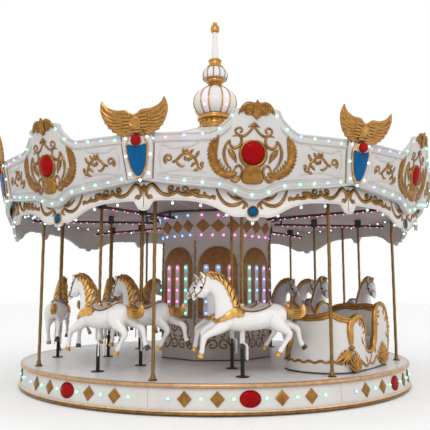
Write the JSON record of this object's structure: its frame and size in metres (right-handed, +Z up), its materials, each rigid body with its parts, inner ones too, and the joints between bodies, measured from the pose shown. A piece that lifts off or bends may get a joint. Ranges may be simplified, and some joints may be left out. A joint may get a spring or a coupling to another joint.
{
  "type": "fairground carousel",
  "caption": "Round fairground carousel: a turning platform with pole-mounted galloping horses and a chariot around a panelled core, under a carved canopy with an onion-domed spire.",
  "frame": {"origin": "centre of the platform at ground level", "axes": "+Z up along the platform's axis; -Y is the front, through the centre of a canopy board"},
  "size_m": [7.051, 7.051, 6.055],
  "materials": {
    "white_panel": "white gel-coated fibreglass with gold paint",
    "horse": "glossy white lacquer",
    "dark_steel": "dark paint",
    "gold_pole": "twisted brass",
    "gold": "old gold paint",
    "bench": "moulded fibreglass seat",
    "deck": "pale grey anti-slip sheet"
  },
  "bodies": {
    "ground": {"ground_frame": "dark_steel"},
    "turntable": {"canopy_pole_1": "gold_pole", "canopy_pole_2": "gold_pole", "canopy_pole_3": "gold_pole", "canopy_pole_4": "gold_pole", "canopy_pole_5": "gold_pole", "canopy_pole_6": "gold_pole", "canopy_pole_7": "gold_pole", "canopy_pole_8": "gold_pole", "canopy_rim": "dark_steel", "ceiling": "white_panel", "chariot_bench": "bench", "chariot_shell": "white_panel", "core_drum": "white_panel", "core_frieze": "white_panel", "crank_shafts": "dark_steel", "deck_fascia": "white_panel", "deck_floor": "deck", "dome_base": "gold", "dome_lantern": "white_panel", "dome_onion": "white_panel", "roof": "white_panel", "rounding_board_1": "white_panel", "rounding_board_2": "white_panel", "rounding_board_3": "white_panel", "rounding_board_4": "white_panel", "rounding_board_5": "white_panel", "rounding_board_6": "white_panel", "rounding_board_7": "white_panel", "rounding_board_8": "white_panel", "shield_1": "white_panel", "shield_2": "white_panel", "shield_3": "white_panel", "shield_4": "white_panel", "shield_5": "white_panel", "shield_6": "white_panel", "shield_7": "white_panel", "shield_8": "white_panel", "spire": "white_panel", "turntable_frame": "dark_steel", "valance": "white_panel"},
    "horse_inner_1": {"horse_inner_1": "horse"},
    "horse_inner_3": {"horse_inner_3": "horse"},
    "horse_inner_4": {"horse_inner_4": "horse"},
    "horse_inner_5": {"horse_inner_5": "horse"},
    "horse_inner_6": {"horse_inner_6": "horse"},
    "horse_inner_7": {"horse_inner_7": "horse"},
    "horse_inner_8": {"horse_inner_8": "horse"},
    "horse_outer_1": {"horse_outer_1": "horse"},
    "horse_outer_3": {"horse_outer_3": "horse"},
    "horse_outer_4": {"horse_outer_4": "horse"},
    "horse_outer_5": {"horse_outer_5": "horse"},
    "horse_outer_6": {"horse_outer_6": "horse"},
    "horse_outer_7": {"horse_outer_7": "horse"},
    "horse_outer_8": {"horse_outer_8": "horse"}
  },
  "joints": [
    {"name": "platform_turn", "type": "hinge", "parent": "ground", "child": "turntable", "pos_m": [0, 0, 0.16], "axis": [0, 0, 1], "continuous": true},
    {"name": "gallop_inner_1", "type": "slide", "parent": "turntable", "child": "horse_inner_1", "axis": [0, 0, 1], "range_m": [-0.12, 0.12]},
    {"name": "gallop_inner_3", "type": "slide", "parent": "turntable", "child": "horse_inner_3", "axis": [0, 0, 1], "range_m": [-0.12, 0.12]},
    {"name": "gallop_inner_4", "type": "slide", "parent": "turntable", "child": "horse_inner_4", "axis": [0, 0, 1], "range_m": [-0.12, 0.12]},
    {"name": "gallop_inner_5", "type": "slide", "parent": "turntable", "child": "horse_inner_5", "axis": [0, 0, 1], "range_m": [-0.12, 0.12]},
    {"name": "gallop_inner_6", "type": "slide", "parent": "turntable", "child": "horse_inner_6", "axis": [0, 0, 1], "range_m": [-0.12, 0.12]},
    {"name": "gallop_inner_7", "type": "slide", "parent": "turntable", "child": "horse_inner_7", "axis": [0, 0, 1], "range_m": [-0.12, 0.12]},
    {"name": "gallop_inner_8", "type": "slide", "parent": "turntable", "child": "horse_inner_8", "axis": [0, 0, 1], "range_m": [-0.12, 0.12]},
    {"name": "gallop_outer_1", "type": "slide", "parent": "turntable", "child": "horse_outer_1", "axis": [0, 0, 1], "range_m": [-0.12, 0.12]},
    {"name": "gallop_outer_3", "type": "slide", "parent": "turntable", "child": "horse_outer_3", "axis": [0, 0, 1], "range_m": [-0.12, 0.12]},
    {"name": "gallop_outer_4", "type": "slide", "parent": "turntable", "child": "horse_outer_4", "axis": [0, 0, 1], "range_m": [-0.12, 0.12]},
    {"name": "gallop_outer_5", "type": "slide", "parent": "turntable", "child": "horse_outer_5", "axis": [0, 0, 1], "range_m": [-0.12, 0.12]},
    {"name": "gallop_outer_6", "type": "slide", "parent": "turntable", "child": "horse_outer_6", "axis": [0, 0, 1], "range_m": [-0.12, 0.12]},
    {"name": "gallop_outer_7", "type": "slide", "parent": "turntable", "child": "horse_outer_7", "axis": [0, 0, 1], "range_m": [-0.12, 0.12]},
    {"name": "gallop_outer_8", "type": "slide", "parent": "turntable", "child": "horse_outer_8", "axis": [0, 0, 1], "range_m": [-0.12, 0.12]}
  ],
  "couplings": [
    {"joint": "gallop_inner_1", "follows": "gallop_outer_1", "ratio": -1},
    {"joint": "gallop_inner_3", "follows": "gallop_outer_1", "ratio": -1},
    {"joint": "gallop_inner_4", "follows": "gallop_outer_1", "ratio": 1},
    {"joint": "gallop_inner_5", "follows": "gallop_outer_1", "ratio": -1},
    {"joint": "gallop_inner_6", "follows": "gallop_outer_1", "ratio": 1},
    {"joint": "gallop_inner_7", "follows": "gallop_outer_1", "ratio": -1},
    {"joint": "gallop_inner_8", "follows": "gallop_outer_1", "ratio": 1},
    {"joint": "gallop_outer_3", "follows": "gallop_outer_1", "ratio": 1},
    {"joint": "gallop_outer_4", "follows": "gallop_outer_1", "ratio": -1},
    {"joint": "gallop_outer_5", "follows": "gallop_outer_1", "ratio": 1},
    {"joint": "gallop_outer_6", "follows": "gallop_outer_1", "ratio": -1},
    {"joint": "gallop_outer_7", "follows": "gallop_outer_1", "ratio": 1},
    {"joint": "gallop_outer_8", "follows": "gallop_outer_1", "ratio": -1}
  ]
}
